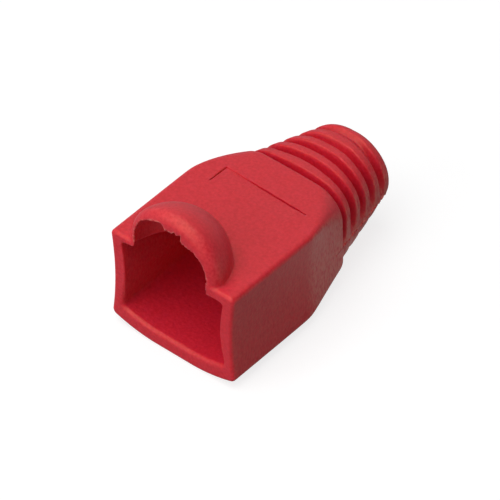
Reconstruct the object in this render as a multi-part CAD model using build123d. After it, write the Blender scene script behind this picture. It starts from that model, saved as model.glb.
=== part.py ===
"""Strain relief boot for a modular network plug, one moulded piece of soft PVC.

Millimetres.  X is the width, +Y runs from the mouth to the tail, +Z is up.
The origin is the middle of the bounding box on the resting plane.
"""
import os
from math import cos, pi, sin

from build123d import *

# Sleeve: the box that slips over the back of the plug
sleeve_width = 14.7
sleeve_height = 11.25
sleeve_length = 11.1
side_pinch = 0.38
top_corner_radius = 0.8
floor_corner_radius = 0.55
mouth_edge_radius = 0.45

# Floor: a flat land in the middle, rising in a gentle curve to both sides
land_width = 4.0
floor_rise = 1.0

# Shoulder: the tapered length between the sleeve and the tail
shoulder_length = 5.9
shoulder_width = 12.1
shoulder_height = 11.15
shoulder_pinch = 0.05
shoulder_rise = 0.7
shoulder_middle_radius = 1.4
shoulder_top_radius = 3.0
shoulder_floor_radius = 2.2

# Socket: the hollow for the plug
plug_width = 11.68
plug_clearance = 0.08
socket_depth = 11.0
roof_wall = 0.8
floor_wall = 1.7
socket_pinch = 0.4
socket_land = 3.6
socket_rise = 0.75
socket_corner_radius = 0.6
funnel_diameter = 8.0

# Hood: the round bubble that shields the latch of the plug
hood_radius = 5.3
hood_setback = 0.35
hood_lift = 0.25
hood_edge_radius = 0.55
hood_inner_radius = 4.7
hood_inner_setback = 0.5
hood_crown_wall = 0.9

# Tail: a ringed cone that bends with the cable
tail_axis_height = 5.6
tail_root_width = 11.85
tail_root_height = 10.5
tail_root_corner = 3.0
tail_end_diameter = 8.5
tail_end_flat = 0.4
groove_count = 5
root_groove_width = 0.75
groove_width = 0.7
root_groove_depth = 1.0
end_groove_depth = 0.4
end_groove_side_depth = 0.8
ring_width = 1.07
ring_bevel_run = 0.24
ring_bevel_drop = 0.28
end_ring_length = 1.17
end_ring_diameter = 9.0
end_ring_radius = 0.9
end_ring_facets = 4
web_drop = 1.65
web_height = 3.5
web_inset = 0.12

# Cable hole through the tail
cable_diameter = 6.0
cable_clearance = 0.1

# Marking field: a shallow blank recess in the top
field_width = 9.9
field_length = 2.4
field_depth = 0.15
field_start = 10.5

# Sizes that follow from the ones above
body_length = sleeve_length + shoulder_length
ring_pitch = ring_width + groove_width
tail_length = root_groove_width + (groove_count - 1) * ring_pitch + end_ring_length
overall_length = body_length + tail_length
mouth_y = -overall_length / 2
crease_y = mouth_y + sleeve_length
shoulder_y = mouth_y + body_length
end_y = overall_length / 2
bore_radius = cable_diameter / 2 + cable_clearance
socket_width = plug_width + 2 * plug_clearance


def across(y):
    """The plane that cuts the boot square to its length at y."""
    return Plane.XZ.offset(-y)


def box_outline(width, floor, top, pinch, land, rise, top_radius, floor_radius):
    """A boxy outline with a flat top, drawn-in sides and a floor that rises from its land."""
    half = width / 2
    foot = floor + rise
    middle = (top + foot) / 2
    roof = Line((-half, top), (half, top))
    right = ThreePointArc((half, top), (half - pinch, middle), (half, foot))
    right_floor = TangentArc((land / 2, floor), (half, foot), tangent=(1, 0))
    flat = Line((land / 2, floor), (-land / 2, floor))
    left_floor = TangentArc((-land / 2, floor), (-half, foot), tangent=(-1, 0))
    left = ThreePointArc((-half, foot), (-half + pinch, middle), (-half, top))
    face = make_face([roof, right, right_floor, flat, left_floor, left])
    top_corners = face.vertices().group_by(Axis.Y)[-1]
    face = fillet(top_corners, top_radius)
    floor_corners = face.vertices().group_by(Axis.Y)[1]
    return fillet(floor_corners, floor_radius)


def between(start, stop, share):
    """The value a share of the way from start to stop."""
    return start + (stop - start) * share


def make_body():
    """Sleeve and shoulder as one ruled shape, with corners that grow rounder towards the tail."""
    mouth = box_outline(sleeve_width, 0, sleeve_height, side_pinch, land_width, floor_rise,
                        top_corner_radius, floor_corner_radius)
    middle_y = between(crease_y, shoulder_y, 0.5)
    middle = box_outline(between(sleeve_width, shoulder_width, 0.5), 0,
                         between(sleeve_height, shoulder_height, 0.5),
                         between(side_pinch, shoulder_pinch, 0.5), land_width,
                         between(floor_rise, shoulder_rise, 0.5),
                         shoulder_middle_radius, shoulder_middle_radius)
    back = box_outline(shoulder_width, 0, shoulder_height, shoulder_pinch, land_width, shoulder_rise,
                       shoulder_top_radius, shoulder_floor_radius)
    sections = [across(mouth_y) * mouth, across(crease_y) * mouth]
    sections += [across(middle_y) * middle, across(shoulder_y) * back]
    return loft(sections, ruled=True)


def make_ball(radius, setback, height):
    """A ball behind the mouth plane, cut off flat at the mouth."""
    ball = Pos(0, mouth_y + setback, height) * Sphere(radius)
    behind = Pos(0, mouth_y + 2 * radius, height) * Box(4 * radius, 4 * radius, 4 * radius)
    return ball & behind


def tail_outline(y, inset, side_inset):
    """The outline of the tail at y, drawn in by the insets: boxy at the root, round at the end."""
    share = (y - shoulder_y) / tail_length
    width = between(tail_root_width, tail_end_diameter, share)
    height = between(tail_root_height, tail_end_diameter, share)
    corner = between(tail_root_corner, (tail_end_diameter - tail_end_flat) / 2, share)
    outline = RectangleRounded(width - 2 * side_inset, height - 2 * inset, corner - side_inset)
    return Plane((0, y, tail_axis_height), x_dir=(1, 0, 0), z_dir=(0, -1, 0)) * outline


def make_ring(start):
    """One ring of the tail with both edges bevelled."""
    stop = start + ring_width
    sections = [tail_outline(start, ring_bevel_drop, ring_bevel_drop)]
    sections += [tail_outline(start + ring_bevel_run, 0, 0)]
    sections += [tail_outline(stop - ring_bevel_run, 0, 0)]
    sections += [tail_outline(stop, ring_bevel_drop, ring_bevel_drop)]
    return loft(sections, ruled=True)


def make_end_ring(start):
    """The last ring, turned round, with the same bevel in front and a well rounded end."""
    front = end_ring_diameter / 2
    end = tail_end_diameter / 2
    profile = [(0, start), (front - ring_bevel_drop, start), (front, start + ring_bevel_run)]
    for facet in range(end_ring_facets + 1):
        turn = facet / end_ring_facets * pi / 2
        drop = end_ring_radius * (1 - cos(turn))
        short = end_ring_radius * (1 - sin(turn))
        profile.append((end - drop, end_y - short))
    profile.append((0, end_y))
    return Pos(0, 0, tail_axis_height) * revolve(make_face(Polyline(*profile, close=True)), Axis.Y)


def make_tail():
    """The thin cone with a web along each side, and the rings round it."""
    root_y = shoulder_y - ring_width
    core_end = end_y - end_ring_radius
    core_root = tail_outline(root_y, root_groove_depth, root_groove_depth)
    tail = loft([core_root, tail_outline(core_end, end_groove_depth, end_groove_side_depth)], ruled=True)
    envelope = [tail_outline(root_y, web_inset, web_inset), tail_outline(core_end, web_inset, web_inset)]
    band = Box(2 * tail_root_width, 2 * overall_length, web_height)
    tail += loft(envelope, ruled=True) & Pos(0, 0, tail_axis_height - web_drop) * band
    ring_y = shoulder_y + root_groove_width
    for number in range(groove_count - 1):
        tail += make_ring(ring_y)
        ring_y += ring_pitch
    return tail + make_end_ring(ring_y)


def make_socket():
    """The hollow: plug socket, funnel, cable hole and the space under the hood."""
    roof = sleeve_height - roof_wall
    outline = box_outline(socket_width, floor_wall, roof, socket_pinch, socket_land, socket_rise,
                          socket_corner_radius, socket_corner_radius)
    socket_y = mouth_y + socket_depth
    socket = loft([across(mouth_y) * outline, across(socket_y) * outline], ruled=True)
    lead_in = Cone(funnel_diameter / 2, bore_radius, shoulder_y - socket_y)
    hole = Cylinder(bore_radius, overall_length)
    along = Pos(0, 0, tail_axis_height) * Rot(-90, 0, 0)
    socket += along * Pos(0, 0, (shoulder_y + socket_y) / 2) * lead_in
    socket += along * Pos(0, 0, shoulder_y + overall_length / 2) * hole
    crown = sleeve_height + hood_lift + hood_radius - hood_crown_wall
    return socket + make_ball(hood_inner_radius, hood_inner_setback, crown - hood_inner_radius)


def round_mouth(shape, radius):
    """The shape with the rim of its flat front rounded over."""
    front = shape.faces().sort_by(Axis.Y)[0]
    return fillet(front.edges(), radius)


def make_boot():
    """The whole boot."""
    body = round_mouth(make_body(), mouth_edge_radius)
    hood = make_ball(hood_radius, hood_setback, sleeve_height + hood_lift)
    hood = round_mouth(hood, hood_edge_radius)
    boot = body + hood + make_tail() - make_socket()
    field_y = mouth_y + field_start + field_length / 2
    return boot - Pos(0, field_y, sleeve_height) * Box(field_width, field_length, 2 * field_depth)


os.makedirs("parts", exist_ok=True)
boot = make_boot()
print("volume", round(boot.volume, 1), "solids", len(boot.solids()), boot.bounding_box())
export_step(boot, "parts/boot.step")
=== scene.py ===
# %% [markdown]
# # A soft red strain relief boot
# The boot slips over the back of a network plug, shields its latch and keeps the cable from kinking.
# It is one moulding of soft PVC, so nothing on it is truly sharp: every edge is rounded, every inner
# corner is filled, and a little flash is left where the halves of the mould met.
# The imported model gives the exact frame, and the moulding is modelled again here in its place.

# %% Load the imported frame
import math

import bpy
import numpy as np
import openvdb
from mathutils import Matrix, Vector


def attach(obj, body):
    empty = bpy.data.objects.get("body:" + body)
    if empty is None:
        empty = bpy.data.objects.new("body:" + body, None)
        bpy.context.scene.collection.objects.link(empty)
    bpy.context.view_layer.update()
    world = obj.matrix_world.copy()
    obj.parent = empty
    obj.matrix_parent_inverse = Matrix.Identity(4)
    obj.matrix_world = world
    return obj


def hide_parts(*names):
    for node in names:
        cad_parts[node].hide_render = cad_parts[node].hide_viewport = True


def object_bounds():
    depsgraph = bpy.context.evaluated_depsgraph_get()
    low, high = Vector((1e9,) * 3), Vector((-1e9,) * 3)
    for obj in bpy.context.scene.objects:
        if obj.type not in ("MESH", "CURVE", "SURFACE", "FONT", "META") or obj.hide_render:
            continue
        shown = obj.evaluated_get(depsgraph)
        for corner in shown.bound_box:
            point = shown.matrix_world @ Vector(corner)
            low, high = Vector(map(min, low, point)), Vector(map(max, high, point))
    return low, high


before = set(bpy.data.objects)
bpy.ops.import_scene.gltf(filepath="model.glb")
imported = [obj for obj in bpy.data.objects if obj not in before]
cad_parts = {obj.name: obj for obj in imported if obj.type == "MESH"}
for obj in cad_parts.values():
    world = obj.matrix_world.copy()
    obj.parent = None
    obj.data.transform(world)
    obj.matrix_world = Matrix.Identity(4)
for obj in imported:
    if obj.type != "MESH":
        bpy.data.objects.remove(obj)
frame_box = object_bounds()
print("frame box in mm", [[round(v * 1000, 2) for v in corner] for corner in frame_box])

# %% [markdown]
# ## How the moulding is described
# A subdivision cage is hard to keep clean where a ball, a box and a ringed cone all run together.
# A distance field is easier: each form is a formula that is below zero inside and above zero outside.
# Two such formulas can be joined with a fillet or cut with a rounded edge, which is just how a
# moulding behaves. At the end the whole field is turned into one closed mesh.
# The formulas work in millimetres: X is the width, Y runs from the mouth to the tail, Z is up.

# %% Helpers that round edges and blend sizes
def soft_cut(a, b, radius):
    """Keep what lies in both shapes, with the edge between them rounded."""
    edge = np.hypot(np.maximum(a + radius, 0), np.maximum(b + radius, 0))
    return np.minimum(np.maximum(a, b), -radius) + edge


def soft_join(a, b, radius):
    """Join two shapes and fill the corner between them."""
    return -soft_cut(-a, -b, radius)


def between(start, stop, share):
    """The value a share of the way from start to stop."""
    return start + (stop - start) * share


def share_of(value, start, stop):
    """How far a value has come on its way from start to stop, kept between 0 and 1."""
    return np.clip((value - start) / (stop - start), 0, 1)


print("a square corner stands out", round(float(soft_cut(0.0, 0.0, 1.0)), 3), "mm over a 1 mm rounding")

# %% [markdown]
# ## Box outline
# The sleeve is a box with slightly drawn-in sides and a floor that rises from a flat land in the
# middle to both sides. One formula draws such an outline, and the hollow for the plug uses it again.

# %% Box outline
def box_outline(x, z, half, floor, top, pinch, land, rise, top_radius, floor_radius):
    """Distance to a boxy outline with drawn-in sides and a bowed floor."""
    out = np.abs(x)
    middle = (top + floor + rise) / 2
    reach = (top - floor - rise) / 2
    side = half - pinch * (1 - np.clip((z - middle) / reach, -1, 1) ** 2)
    bow = rise * (np.maximum(out - land / 2, 0) / (half - land / 2)) ** 2
    walls = soft_cut(out - side, z - top, top_radius)
    return soft_cut(walls, floor + bow - z, floor_radius)


mouth_y, crease_y, shoulder_y, end_y = -13.0, -1.9, 3.85, 13.0
print("sleeve", crease_y - mouth_y, "mm, shoulder", shoulder_y - crease_y, "mm, tail", end_y - shoulder_y, "mm")

# %% [markdown]
# ## Sleeve and shoulder
# Behind a crease the sleeve tapers to the shoulder, and its corners grow rounder on the way.
# So each size of the outline has one value at the sleeve and one at the shoulder, and the share of the
# way from crease to shoulder blends the two. The share starts softly, which rounds the crease.

# %% Sleeve and shoulder in one
sleeve_half, sleeve_top = 7.35, 11.25
shoulder_half, shoulder_top = 6.1, 11.15
shoulder_lean, shoulder_arch, arch_half = 0.03, 0.006, 5.0
crease_softness = 0.6
floor_land = 4.0
# pairs: at the sleeve, at the shoulder
side_pinches, floor_rises = (0.38, 0.05), (1.0, 0.7)
top_corners, floor_corners = (0.6, 3.0), (0.55, 2.7)
mouth_round, shoulder_round = 0.35, 0.4


def body_field(x, y, z):
    """Sleeve and shoulder in one, from the mouth to the root of the tail."""
    run = y - crease_y
    soft_run = (run + np.sqrt(run ** 2 + crease_softness ** 2)) / 2
    share = share_of(soft_run, 0, shoulder_y - crease_y)
    arch = shoulder_arch * share ** 2 * np.minimum(np.abs(x), arch_half) ** 2
    top = between(sleeve_top, shoulder_top, share) - arch
    outline = box_outline(x, z, between(sleeve_half, shoulder_half, share), 0, top,
                          between(*side_pinches, share), floor_land, between(*floor_rises, share),
                          between(*top_corners, share ** 2), between(*floor_corners, share))
    front = soft_cut(outline, mouth_y - y, mouth_round)
    return soft_cut(front, y - shoulder_y - shoulder_lean * (sleeve_top - z), shoulder_round)


print("1 mm above the roof the field is", round(float(body_field(0.0, -6.0, sleeve_top + 1)), 3))

# %% [markdown]
# ## Hood
# The hood is the round bubble on top that keeps the plug's latch from catching on other cables.
# It is a ball cut off flat at the mouth, with a thick rounded rim. A small fillet ties it to the roof.

# %% Ball behind the mouth
hood_centre, hood_radius = (0.0, -12.65, 11.5), 5.3
hood_fillet, hood_round = 0.2, 1.1


def ball_field(x, y, z, centre, radius):
    """Distance to a ball."""
    return np.sqrt((x - centre[0]) ** 2 + (y - centre[1]) ** 2 + (z - centre[2]) ** 2) - radius


def hood_field(x, y, z):
    """The outside of the hood, with its front rim rounded over."""
    return soft_cut(ball_field(x, y, z, hood_centre, hood_radius), mouth_y - y, hood_round)


print("crown of the hood", round(hood_centre[2] + hood_radius, 2), "mm above the floor")

# %% [markdown]
# ## Outline of the tail
# The tail is a cone that changes from a boxy outline at its root to a round one at its end. Its top is
# slightly crowned, its underside slightly arched, and below the parting line of the mould it steps in
# by a hair, because the two halves of a mould never meet exactly.

# %% Smooth cone
tail_axis = 5.6
# pairs: at the root, at the end
tail_widths, tail_heights, tail_corners = (11.92, 8.5), (10.56, 8.42), (3.0, 4.05)
tail_arch, tail_crown, crown_half, crown_left_at_end = 0.022, 0.2, 3.0, 0.3
arch_blend = 2.0
seam_height, seam_step, seam_blend = 4.8, 0.07, 0.1
end_lift, end_lift_bottom, end_lift_from, end_lift_to = 0.45, 1.2, 10.0, 12.0


def tail_outline(x, y, z):
    """Distance to the smooth cone that the crowns of the rings touch."""
    share = np.clip((y - shoulder_y) / (end_y - shoulder_y), -0.2, 1)
    corner = between(*tail_corners, share)
    arch = tail_arch * x ** 2 * share_of(z, tail_axis, tail_axis - arch_blend)
    crown = tail_crown * between(1.0, crown_left_at_end, share) * (1 - share_of(np.abs(x), 0, crown_half) ** 2)
    crown = crown * share_of(z, tail_axis, tail_axis + arch_blend)
    across = np.abs(x) - (between(*tail_widths, share) / 2 - corner)
    upward = np.abs(z - tail_axis) + arch - crown - (between(*tail_heights, share) / 2 - corner)
    inner = np.minimum(np.maximum(across, upward), 0)
    rounded = np.hypot(np.maximum(across, 0), np.maximum(upward, 0)) + inner - corner
    step = seam_step * share_of(z, seam_height, seam_height - seam_blend)
    lift = end_lift * share_of(z, tail_axis, end_lift_bottom) * share_of(y, end_lift_from, end_lift_to)
    return rounded + step + lift


print("1 mm above the end of the tail the field is",
      round(float(tail_outline(0.0, end_y, tail_axis + tail_heights[1] / 2 + 1)), 3))

# %% [markdown]
# ## Rings
# Rings with rounded crowns stand on a thinner core, so that the tail bends with the cable.
# They could be made one by one, but on a field it is enough to say how far the cone is drawn in at each
# place along it: deep in five grooves, nothing in between. The grooves are deeper at the sides, bow a
# little forwards there, and run out at the web along the parting line that ties the rings together.

# %% Grooves between the rings
groove_places = [4.17, 6.13, 7.89, 9.66, 11.46]
groove_bows = [0.17, 0.32, 0.32, 0.3, 0.3]
top_depths = [1.3, 1.3, 1.15, 0.82, 0.38]
side_depths = [1.35, 1.4, 1.35, 1.2, 0.95]
side_from, side_to = 1.0, 4.0
groove_front, groove_rear = 0.62, 0.56
bow_half, ring_turn, turn_half = 4.2, 0.025, 3.0
web_depth, web_top, web_bottom, web_slope = 0.1, 5.2, 1.8, 2.0


def groove_depth(x, y, z):
    """How far the tail is drawn in at a place: deep in the grooves, nothing on the crowns."""
    to_side = share_of(np.abs(x), side_from, side_to)
    on_top, on_side = np.interp(y, groove_places, top_depths), np.interp(y, groove_places, side_depths)
    above_web = share_of(z, web_top, web_top + web_slope)
    below_web = share_of(z, web_bottom, web_bottom - web_slope)
    bow = (1 - np.cos(share_of(np.abs(x), 0, bow_half) * np.pi)) / 2
    turned = y - ring_turn * np.clip(x, -turn_half, turn_half)
    wall = np.where(turned + groove_bows[0] * bow < groove_places[0], 1.0, 0.0)
    for place, most in zip(groove_places, groove_bows):
        run = turned + most * bow - place
        wall = np.maximum(wall, 1 - np.where(run < 0, -run / groove_front, run / groove_rear))
    soft_wall = wall ** 2 * (3 - 2 * wall)
    return soft_wall * between(web_depth, between(on_top, on_side, to_side), above_web + below_web)


print("grooves on top in mm", [round(float(groove_depth(0.0, y, 10.0)), 2) for y in groove_places])

# %% [markdown]
# ## Seam and end of the tail
# Where the halves of the mould met, a thin rough line of flash runs along both sides of the tail.
# An uneven wave from three sines is enough for it, and it is the same on every run.
# The end of the tail is cut off a little out of square, with a well rounded edge.

# %% The whole tail
end_skew, skew_from, end_round = 0.04, 3.0, 0.9
flash_height, flash_rough, flash_pitch = 0.06, 0.08, 1.7
flash_half, flash_wander, wander_pitch = 0.14, 0.06, 0.9
flash_round, flash_fillet = 0.08, 0.06
tail_root = 1.2


def ragged(t):
    """An uneven wave between about -1 and 1, for torn and rough edges."""
    return (np.sin(5.3 * t) + np.sin(11.9 * t + 1.0) + np.sin(23.1 * t + 2.3)) / 2.4


def tail_field(x, y, z):
    """The grooved cone with its rounded end and the rough seam along the sides."""
    cone = tail_outline(x, y, z)
    end_cut = y - end_y + end_skew * (skew_from - x)
    tail = soft_cut(cone + groove_depth(x, y, z), end_cut, end_round)
    flash_top = cone - flash_height - flash_rough * ragged(flash_pitch * y)
    flash_side = np.abs(z - seam_height - flash_wander * ragged(wander_pitch * y)) - flash_half
    seam = soft_cut(flash_top, flash_side, flash_round)
    tail = soft_join(tail, np.maximum(seam, y - (end_y - end_round)), flash_fillet)
    return np.maximum(tail, shoulder_y - tail_root - y)


print("on the axis in mid tail the field is", round(float(tail_field(0.0, 8.0, tail_axis)), 2))

# %% [markdown]
# ## Space under the hood
# A second, smaller ball hollows out the hood. On the real boot the thin inner lip of the hood is torn,
# where flash was pulled off, so that lip gets a jagged edge. A table gives the flash that is left at
# each angle round the lip, and the uneven wave adds the finest teeth.

# %% Ball under the hood with a torn lip
under_centre, under_radius = (0.0, -12.5, 11.15), 4.75
# angle from the crown to the right, flash left on the lip in mm (below zero: torn away)
lip_tear = [
    (-100, 0.3), (-90, 0.3), (-75, 0.12), (-50, -0.1), (-30, 0.1), (-17, 0.15), (-13, 0.3), (-11, 0.9),
    (-8, 0.7), (-5, 0.85), (-2, 0.75), (1, 0.85), (5, 0.45), (8, 0.65), (11, 0.6), (14.5, 0.2), (16, 0.95),
    (19, 1.05), (21, 1.25), (23, 1.0), (26, 1.15), (29, 0.95), (32, 1.05), (35, 0.8), (37, 0.9), (41, 0.6),
    (44, 0.75), (48, 0.65), (55, 0.55), (75, 0.6), (92, 0.75), (112, 0.5),
]
lip_angles, lip_flash = zip(*lip_tear)
tooth_height, tooth_pitch = 0.07, 2.2
lip_full, lip_gone = 0.225, 0.525


def under_hood_field(x, y, z):
    """The space under the hood, with torn flash on the lip at the mouth."""
    angle = np.degrees(np.arctan2(x - under_centre[0], z - under_centre[2]))
    flash = np.interp(angle, lip_angles, lip_flash) + tooth_height * ragged(angle / tooth_pitch)
    near_mouth = share_of(y, mouth_y + lip_gone, mouth_y + lip_full)
    return ball_field(x, y, z, under_centre, under_radius) + flash * near_mouth


crown_wall = hood_centre[2] + hood_radius - under_centre[2] - under_radius
print("wall of the hood at the crown", round(crown_wall, 2), "mm")

# %% [markdown]
# ## Hollow for plug and cable
# The plug goes into a box-shaped socket. Behind it a funnel leads into the round cable hole.
# The roof's edge at the mouth isn't straight on the soft boot: it sags on the right of the hood and
# stands up on the left, so the socket's top moves by that much close to the mouth.

# %% Socket, funnel and cable hole
socket_half, socket_floor, socket_top, socket_end = 6.05, 1.7, 10.45, -2.0
socket_pinch, socket_land, socket_rise = 0.4, 3.6, 0.75
socket_top_round, socket_floor_round, socket_end_round = 0.5, 0.4, 0.3
right_sag, sag_from, sag_to = 0.35, 2.8, 4.0
left_lift, lift_from, lift_to = 0.25, -5.9, -4.4
sag_starts, sag_full = -11.6, -12.2
funnel_radius, cable_radius, funnel_overlap, funnel_fillet = 4.0, 3.1, 1.0, 0.2
left_foot_round, right_foot_round = 0.3, 0.06


def roof_sag(x, y):
    """How far the roof's inner edge hangs down at the mouth."""
    lift = np.where(x < 0, left_lift * share_of(x, lift_from, lift_to), 0)
    return (right_sag * share_of(x, sag_from, sag_to) - lift) * share_of(y, sag_starts, sag_full)


def hollow_field(x, y, z):
    """Everything that is open inside the boot."""
    socket = box_outline(x, z, socket_half, socket_floor, socket_top - roof_sag(x, y), socket_pinch,
                         socket_land, socket_rise, socket_top_round, socket_floor_round)
    socket = soft_cut(socket, y - socket_end, socket_end_round)
    share = share_of(y, socket_end, shoulder_y)
    hole = np.hypot(x, z - tail_axis) - between(funnel_radius, cable_radius, share)
    hole = np.maximum(hole, socket_end - funnel_overlap - y)
    hollow = soft_join(socket, hole, funnel_fillet)
    foot_round = np.where(x < 0, left_foot_round, right_foot_round)
    return soft_join(hollow, under_hood_field(x, y, z), foot_round)


print("wall of the roof", round(float(hollow_field(0.0, -6.0, sleeve_top)), 2), "mm")

# %% [markdown]
# ## Marking field
# A shallow blank field is sunk into the top across the crease. It is deepest along its rear edge and
# runs out to nothing at the front and the right, so only the rear and left edges show as fine lines.
# The lines are cut a little deeper than the field. The rear one is fainter at its left end.

# %% Field and lines
field_left, field_right, field_front, field_rear = -4.65, 4.95, -2.6, -0.07
field_depth, field_turn, field_run_out, field_shallow = 0.14, 0.025, 1.5, 0.02
line_half, line_depth, line_faint, left_line_gap = 0.07, 0.3, 0.5, 0.3
faint_until, strong_from = -3.5, 0.0


def marking_field(x, y, z):
    """The space of the field and of its two lines."""
    rear = field_rear - field_turn * x
    across = np.maximum(field_left - x, x - field_right)
    sunk = field_depth * share_of(y, field_front, rear) * share_of(x, field_right, field_right - field_run_out)
    recess = np.maximum(across, np.maximum(y - rear, field_front - y))
    recess = np.maximum(recess, sleeve_top - (sunk - field_shallow) - z)
    rear_depth = line_depth * between(line_faint, 1.0, share_of(x, faint_until, strong_from))
    rear_line = np.maximum(np.abs(y - rear) - line_half, across)
    rear_line = np.maximum(rear_line, sleeve_top - rear_depth - z)
    left_line = np.maximum(y - rear, field_front + left_line_gap - y)
    left_line = np.maximum(left_line, np.abs(x - field_left) - line_half)
    left_line = np.maximum(left_line, sleeve_top - line_depth - z)
    return np.minimum(recess, np.minimum(rear_line, left_line))


print("marking field", round(field_right - field_left, 2), "by", round(field_rear - field_front, 2), "mm")

# %% [markdown]
# ## The whole boot
# All outer forms are joined, and the hollow and the marking field are taken away.
# The lip round the mouth is thin and crisp at the top and soft at the floor, where the plug slides in.

# %% Put the forms together
tail_fillet = 0.12
floor_lip_round, lip_round = 0.4, 0.1
soft_lip_below, crisp_lip_above = 3.0, 6.0


def boot_field(x, y, z):
    """Distance to the finished boot: below zero inside the PVC."""
    outside = soft_join(body_field(x, y, z), hood_field(x, y, z), hood_fillet)
    outside = soft_join(outside, tail_field(x, y, z), tail_fillet)
    lip = between(floor_lip_round, lip_round, share_of(z, soft_lip_below, crisp_lip_above))
    boot = soft_cut(outside, -hollow_field(x, y, z), lip)
    return np.maximum(boot, -marking_field(x, y, z))


print("in the middle of the right wall the field is", round(float(boot_field(6.4, -7.0, 6.0)), 2))

# %% [markdown]
# ## From field to mesh
# The field is sampled on a grid, and the grid is turned into a closed skin of quads.
# A grid fine enough for the lines would have far too many points, so its steps are fine only where the
# lines, the lip, the seam and the rings are, and coarse elsewhere.

# %% Sample the field and make the skin
def sample_places(spans):
    """Places along an axis from spans of (start, stop, step)."""
    runs = [np.linspace(start, stop, math.ceil((stop - start) / step) + 1) for start, stop, step in spans]
    return np.unique(np.concatenate(runs).round(5))


across_spans = [(-7.6, -4.85, 0.22), (-4.85, -4.45, 0.05), (-4.45, -1.2, 0.24), (-1.2, 3.8, 0.12),
                (3.8, 7.6, 0.22)]
along_spans = [(-13.3, -12.3, 0.09), (-12.3, -0.3, 0.3), (-0.3, 0.15, 0.045), (0.15, 3.6, 0.28),
               (3.6, 12.2, 0.12), (12.2, 13.3, 0.17)]
upward_spans = [(-0.3, 4.5, 0.2), (4.5, 5.1, 0.07), (5.1, 10.95, 0.19), (10.95, 11.4, 0.06),
                (11.4, 13.6, 0.17), (13.6, 15.6, 0.1), (15.6, 17.1, 0.15)]
axes = [sample_places(spans) for spans in (across_spans, along_spans, upward_spans)]
samples = boot_field(*np.meshgrid(*axes, indexing="ij", sparse=True)).astype(np.float32)
volume = openvdb.FloatGrid()
volume.copyFromArray(samples)
corners, quads = volume.convertToQuads(isovalue=0.0)
points = np.stack([np.interp(corners[:, i], np.arange(len(axes[i])), axes[i]) for i in range(3)], axis=1)
print("grid", samples.shape, "skin", len(points), "points", len(quads), "quads")

# %% [markdown]
# ## True surface
# The skin from the grid shows small stair steps. Each point is drawn down the slope of the field onto the
# zero surface, which takes a few short moves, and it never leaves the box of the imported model.

# %% Draw the points onto the surface
def slope(p, reach=0.02):
    """The direction in which the field grows at each point."""
    columns = []
    for i in range(3):
        step = np.zeros(3)
        step[i] = reach
        ahead, behind = (p + step).T, (p - step).T
        columns.append((boot_field(*ahead) - boot_field(*behind)) / (2 * reach))
    return np.stack(columns, axis=1)


move_count, longest_move, least_slope = 4, 0.06, 0.2
box_low, box_high = np.array(frame_box) * 1000
for turn in range(move_count):
    direction = slope(points)
    steepness = np.maximum((direction ** 2).sum(axis=1), least_slope)
    move = np.clip(boot_field(*points.T) / steepness, -longest_move, longest_move)
    points = np.clip(points - direction * move[:, None], box_low, box_high)
print("largest distance left", round(float(np.abs(boot_field(*points.T)).max()), 4), "mm")

# %% [markdown]
# ## Mesh object
# The points become one mesh in metres. Its normals come from the slope of the field as well, so the
# roundings shade smoothly even where the quads are coarse. The moulding then takes the place of the
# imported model's boot.

# %% Build the mesh object
mesh = bpy.data.meshes.new("boot_moulding")
mesh.from_pydata((points / 1000).tolist(), [], quads.tolist())
mesh.validate()
mesh.shade_smooth()
normals = slope(points)
normals /= np.linalg.norm(normals, axis=1)[:, None]
mesh.normals_split_custom_set_from_vertices(normals.tolist())
boot = bpy.data.objects.new("boot_moulding", mesh)
bpy.context.scene.collection.objects.link(boot)
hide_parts("boot")
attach(boot, "root")
print("triangles", sum(len(p.vertices) - 2 for p in mesh.polygons))

# %% [markdown]
# ## Paler lip and seam, with painted highlight
# The torn lip of the hood and the flash of the seam look paler. Part of that is the paler tone of rubbed,
# stretched flash, and part is highlight where these sharp edges catch the light, painted into the colour.
# Painting them by hand isn't needed: where an edge is sharp the field bends strongly, so its bend finds
# the lip. The result is stored on the points of the mesh, and the material reads it there.

# %% Mark the lip and the seam
bend_reach, bend_from, bend_to = 0.1, 0.9, 3.3
lip_from, lip_to, hood_foot = -11.9, -12.3, 11.3
# how pale each place turns: rubbed flash, plus a painted highlight on sharp edges
hood_lip_rub_and_highlight, mouth_lip_rub_and_highlight, seam_rub_and_highlight = 0.7, 0.03, 0.75
seam_start, seam_reach, seam_side = 0.2, 0.3, 3.6
x, y, z = points.T
bend = -6 * boot_field(x, y, z)
for i in range(3):
    step = np.zeros(3)
    step[i] = bend_reach
    bend += boot_field(*(points + step).T) + boot_field(*(points - step).T)
rub_and_highlight = share_of(bend / bend_reach ** 2, bend_from, bend_to) * share_of(y, lip_from, lip_to)
rub_and_highlight *= np.where(z > hood_foot, hood_lip_rub_and_highlight, mouth_lip_rub_and_highlight)
on_seam = (y > shoulder_y + seam_start) & (np.abs(z - seam_height) < seam_reach) & (np.abs(x) > seam_side)
rub_and_highlight = np.where(on_seam, seam_rub_and_highlight, rub_and_highlight)
mesh.attributes.new("rub_and_highlight", "FLOAT", "POINT").data.foreach_set("value", rub_and_highlight.astype(np.float32))
print("share of rubbed points", round(float((rub_and_highlight > 0.3).mean()), 3))

# %% [markdown]
# ## Helpers for materials
# A material is a tree of nodes, and most of its lines would only make a node, set a number and link it.
# These helpers do that in one call each, so the recipe of a finish can be read in a few lines.

# %% Helpers that add nodes
mix_share, mix_first, mix_second, mix_result = 0, 6, 7, 2  # the colour sockets of the Mix node


def fill(tree, socket, source):
    """Link a socket to another node, or give it a value of its own."""
    if isinstance(source, bpy.types.NodeSocket):
        tree.links.new(source, socket)
    else:
        socket.default_value = source


def noise(tree, place, scale, detail):
    """Cloudy noise at a place."""
    node = tree.nodes.new("ShaderNodeTexNoise")
    for name, source in (("Vector", place), ("Scale", scale), ("Detail", detail)):
        fill(tree, node.inputs[name], source)
    return node.outputs["Fac"]


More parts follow.
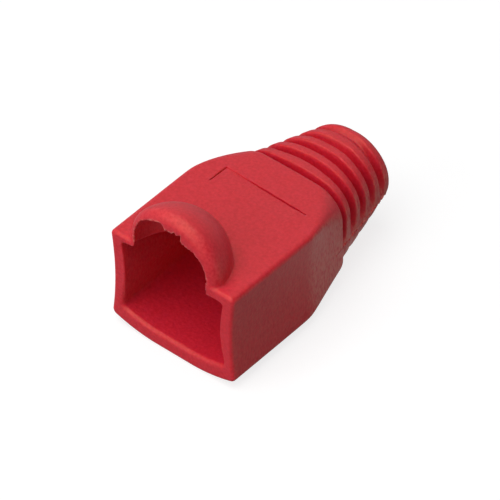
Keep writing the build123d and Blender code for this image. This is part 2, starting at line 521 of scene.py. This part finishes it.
def spread(tree, source, start, stop, low=0.0, high=1.0):
    """A value between start and stop, spread out to lie between low and high."""
    node = tree.nodes.new("ShaderNodeMapRange")
    fill(tree, node.inputs["Value"], source)
    for name, number in (("From Min", start), ("From Max", stop), ("To Min", low), ("To Max", high)):
        fill(tree, node.inputs[name], number)
    return node.outputs["Result"]


def combine(tree, operation, *sources):
    """One value worked out from others."""
    node = tree.nodes.new("ShaderNodeMath")
    node.operation = operation
    for socket, source in zip(node.inputs, sources):
        fill(tree, socket, source)
    return node.outputs["Value"]


def blend_colours(tree, share, first, second):
    """The first colour with a share of the second."""
    node = tree.nodes.new("ShaderNodeMix")
    node.data_type = "RGBA"
    for number, source in ((mix_share, share), (mix_first, first), (mix_second, second)):
        fill(tree, node.inputs[number], source)
    return node.outputs[mix_result]


def part_of(tree, vector, axis):
    """The X, Y or Z of a vector."""
    node = tree.nodes.new("ShaderNodeSeparateXYZ")
    fill(tree, node.inputs["Vector"], vector)
    return node.outputs[axis]


print("helpers ready")

# %% [markdown]
# ## Red PVC
# The boot is a soft, matt red plastic. Some light enters it and comes out again as deep red, so the shader
# has a little subsurface. The skin is finely mottled, which a cloudy noise between two reds gives.

# %% Mottled red
pvc = bpy.data.materials.new("red_pvc")
pvc.use_nodes = True
skin = pvc.node_tree
shader = skin.nodes["Principled BSDF"]
shader.inputs["Roughness"].default_value = 0.5
shader.inputs["IOR"].default_value = 1.5
shader.inputs["Specular Tint"].default_value = (1.0, 1.0, 0.62, 1)
shader.inputs["Subsurface Weight"].default_value = 0.6
shader.inputs["Subsurface Radius"].default_value = (1.0, 0.15, 0.15)
shader.inputs["Subsurface Scale"].default_value = 0.0009
place = skin.nodes.new("ShaderNodeTexCoord").outputs
mottle = noise(skin, place["Object"], scale=3600.0, detail=4.0)
reds = skin.nodes.new("ShaderNodeValToRGB")
dark_red, light_red = reds.color_ramp.elements
dark_red.position, dark_red.color = 0.3, (0.62, 0.005, 0.031, 1)
light_red.position, light_red.color = 0.7, (0.74, 0.017, 0.048, 1)
skin.links.new(mottle, reds.inputs["Fac"])
print("reds from", [round(v, 3) for v in dark_red.color], "to", [round(v, 3) for v in light_red.color])

# %% [markdown]
# ## Painted sheen on the side walls
# The side walls show a greyish sheen where they look down at the pale floor, most of all on the taper behind
# the crease. Here that sheen is painted into the colour as a greyer red in fine upright streaks. Noise that is
# stretched along Z gives the streaks. The normal tells which faces look sideways, and the place along the
# boot paints more sheen on the taper than on the sleeve.

# %% Painted sheen in streaks on the side walls
stretch = skin.nodes.new("ShaderNodeMapping")
stretch.inputs["Scale"].default_value = (5500.0, 5500.0, 1900.0)
skin.links.new(place["Object"], stretch.inputs["Vector"])
streaks = spread(skin, noise(skin, stretch.outputs["Vector"], scale=1.0, detail=3.0), 0.3, 0.64)
sideways = combine(skin, "ABSOLUTE", part_of(skin, place["Normal"], "X"))
sheen_side_share = spread(skin, sideways, 0.75, 0.95)
# how much painted sheen the sleeve and the taper get
taper_start, taper_full, sheen_on_sleeve, sheen_on_taper = -0.0026, -0.0011, 0.16, 0.55
along_boot = part_of(skin, place["Object"], "Y")
sheen_taper_share = spread(skin, along_boot, taper_start, taper_full, sheen_on_sleeve, sheen_on_taper)
sheen_mask = combine(skin, "MULTIPLY", sheen_side_share, sheen_taper_share)
# painted sheen: a greyer red that stands for the floor's reflection on the side walls
painted_sheen_red = (0.8, 0.25, 0.2, 1)
painted_sheen_streaks = combine(skin, "MULTIPLY", sheen_mask, streaks)
red_with_painted_sheen = blend_colours(skin, painted_sheen_streaks, reds.outputs["Color"], painted_sheen_red)
print("nodes with the streaks", len(skin.nodes))

# %% [markdown]
# ## Pale flecks and painted highlight
# On the lip and seam the red turns paler in small flecks: the paler tone of rubbed flash, with a highlight
# painted where the sharp edges catch the light. The mottle is used once more to break up the edge of these
# places, so they don't look drawn on.

# %% Paler edges with painted highlight
rub_and_highlight_attribute = skin.nodes.new("ShaderNodeAttribute")
rub_and_highlight_attribute.attribute_name = "rub_and_highlight"
flecks = spread(skin, mottle, 0.35, 0.6)
# paler red: rubbed flash, plus a painted highlight on sharp edges
rub_and_highlight_red = (0.85, 0.2, 0.18, 1)
rub_and_highlight_share = combine(skin, "MULTIPLY", rub_and_highlight_attribute.outputs["Fac"], flecks)
skin.links.new(blend_colours(skin, rub_and_highlight_share, red_with_painted_sheen, rub_and_highlight_red), shader.inputs["Base Color"])
print("nodes with the flecks", len(skin.nodes))

# %% [markdown]
# ## Grain
# The mould leaves a fine grain on the skin. It is far too small for geometry, so a bump does it.

# %% Fine grain of the skin
grain = noise(skin, place["Object"], scale=3000.0, detail=3.0)
bump = skin.nodes.new("ShaderNodeBump")
bump.inputs["Strength"].default_value = 0.6
bump.inputs["Distance"].default_value = 0.00006
skin.links.new(grain, bump.inputs["Height"])
skin.links.new(bump.outputs["Normal"], shader.inputs["Normal"])
mesh.materials.append(pvc)
print("material", pvc.name, "with", len(skin.nodes), "nodes")

# %% [markdown]
# ## Camera
# The photo is a close product shot from the front right and above, taken from far away with a long
# lens, so edges that are parallel on the boot stay nearly parallel in the picture.
# The angles and the scale were fitted to the outline of the boot in the photo.

# %% Camera at the photo's angle
azimuth, elevation, roll = math.radians(40.48), math.radians(43.38), math.radians(0.24)
distance, pixels_per_mm, image_size = 0.550, 11.02, 500
look_at, look_at_pixel = Vector((0.0, -0.003, 0.006)), (243.96, 248.78)
level = Vector((math.sin(azimuth), -math.cos(azimuth), 0.0))
back = level * math.cos(elevation) + Vector((0.0, 0.0, math.sin(elevation)))
right = Vector((math.cos(azimuth), math.sin(azimuth), 0.0))
up = back.cross(right)
right, up = (math.cos(roll) * right - math.sin(roll) * up, math.sin(roll) * right + math.cos(roll) * up)
shift_right, shift_down = [(image_size / 2 - p) / pixels_per_mm / 1000 for p in look_at_pixel]
aim = look_at + right * shift_right - up * shift_down
camera_data = bpy.data.cameras.new("photo_camera")
camera_data.sensor_width = 36.0
camera_data.lens = pixels_per_mm * distance * 1000 * camera_data.sensor_width / image_size
camera = bpy.data.objects.new("photo_camera", camera_data)
turned_camera = Matrix((right, up, back)).transposed().to_4x4()
camera.matrix_world = Matrix.Translation(aim + back * distance) @ turned_camera
bpy.context.scene.collection.objects.link(camera)
bpy.context.scene.camera = camera
print("lens", round(camera_data.lens, 1), "mm")

# %% [markdown]
# ## Lamps
# Two large soft lamps light the boot, as in a small photo tent. One hangs nearly overhead and lights the
# top. The other stands low in front on the left and reaches into the socket and under the hood.

# %% Two soft lamps
def soft_lamp(name, place_mm, target_mm, width_mm, power):
    """A square soft box that looks at a point of the boot."""
    data = bpy.data.lights.new(name, "AREA")
    data.size = width_mm / 1000
    data.energy = power
    lamp = bpy.data.objects.new(name, data)
    lamp.location = Vector(place_mm) / 1000
    lamp.rotation_euler = (Vector(target_mm) - Vector(place_mm)).to_track_quat("-Z", "Y").to_euler()
    bpy.context.scene.collection.objects.link(lamp)
    return lamp


middle_of_boot = (0, 0, 6)
top_lamp = soft_lamp("top_lamp", (-20, -85, 315), middle_of_boot, 280, 0.65)
front_lamp = soft_lamp("front_lamp", (-70, -310, 130), middle_of_boot, 260, 0.43)
print("lamps", top_lamp.name, front_lamp.name)

# %% [markdown]
# ## Room
# The white room fills the shaded side with weak light. To the camera the room is plain white. In
# reflections it is darker on the right, which keeps the right wall of the boot from looking washed out.

# %% White room
world = bpy.data.worlds.new("white_room")
world.use_nodes = True
bpy.context.scene.world = world
room = world.node_tree
white = (1, 1, 1, 1)
fill_light = room.nodes["Background"]
fill_light.inputs["Color"].default_value = white
fill_light.inputs["Strength"].default_value = 0.205
seen_room = room.nodes.new("ShaderNodeBackground")
seen_room.inputs["Color"].default_value = white
rays = room.nodes.new("ShaderNodeLightPath").outputs
heading = part_of(room, room.nodes.new("ShaderNodeTexCoord").outputs["Generated"], "X")
dim_right = spread(room, heading, 0.2, 0.8, 1.0, 0.2)
white_to_camera = combine(room, "MAXIMUM", dim_right, rays["Is Camera Ray"])
room.links.new(white_to_camera, seen_room.inputs["Strength"])
seen_or_mirrored = combine(room, "MAXIMUM", rays["Is Camera Ray"], rays["Is Glossy Ray"])
either = room.nodes.new("ShaderNodeMixShader")
room.links.new(seen_or_mirrored, either.inputs["Fac"])
room.links.new(fill_light.outputs["Background"], either.inputs[1])
room.links.new(seen_room.outputs["Background"], either.inputs[2])
room.links.new(either.outputs["Shader"], room.nodes["World Output"].inputs["Surface"])
print("room with", len(room.nodes), "nodes")

# %% [markdown]
# ## Floor
# The floor is plain and pale, and keeps a soft shadow of the boot. It glows a little to the camera, so
# that it looks white without more light on the boot. Reflections see a dimmer floor, which is lighter
# beside the shoulder, because the taper looks down at it there and shows it as a dull sheen.

# %% Plain floor
reach, floor_drop = 3.0, 0.00002
floor_corners_m = [(-reach, -reach, 0), (reach, -reach, 0), (reach, reach, 0), (-reach, reach, 0)]
floor_mesh = bpy.data.meshes.new("floor")
floor_mesh.from_pydata(floor_corners_m, [], [(0, 1, 2, 3)])
floor = bpy.data.objects.new("floor", floor_mesh)
floor.location.z = -floor_drop
bpy.context.scene.collection.objects.link(floor)
print("floor", 2 * reach, "m wide")

# %% Pale floor material
paper = bpy.data.materials.new("white_floor")
paper.use_nodes = True
sheet = paper.node_tree
matt = sheet.nodes["Principled BSDF"]
matt.inputs["Base Color"].default_value = (0.3, 0.3, 0.3, 1)
matt.inputs["Roughness"].default_value = 0.9
along_floor = part_of(sheet, sheet.nodes.new("ShaderNodeTexCoord").outputs["Object"], "Y")
lighter_behind = spread(sheet, along_floor, -0.002, 0.008, 0.15, 0.55)
darker_far = spread(sheet, along_floor, 0.0095, 0.013, 1.0, 0.15)
graded = combine(sheet, "MULTIPLY", lighter_behind, darker_far)
floor_rays = sheet.nodes.new("ShaderNodeLightPath").outputs
mirrored = combine(sheet, "MULTIPLY", floor_rays["Is Glossy Ray"], graded)
glow_to_camera = 0.78
glow = sheet.nodes.new("ShaderNodeEmission")
glow_strength = combine(sheet, "MULTIPLY_ADD", floor_rays["Is Camera Ray"], glow_to_camera, mirrored)
sheet.links.new(glow_strength, glow.inputs["Strength"])
both = sheet.nodes.new("ShaderNodeAddShader")
sheet.links.new(matt.outputs["BSDF"], both.inputs[0])
sheet.links.new(glow.outputs["Emission"], both.inputs[1])
sheet.links.new(both.outputs["Shader"], sheet.nodes["Material Output"].inputs["Surface"])
floor_mesh.materials.append(paper)
bpy.context.scene.view_settings.view_transform = "Standard"
print("floor material with", len(sheet.nodes), "nodes")
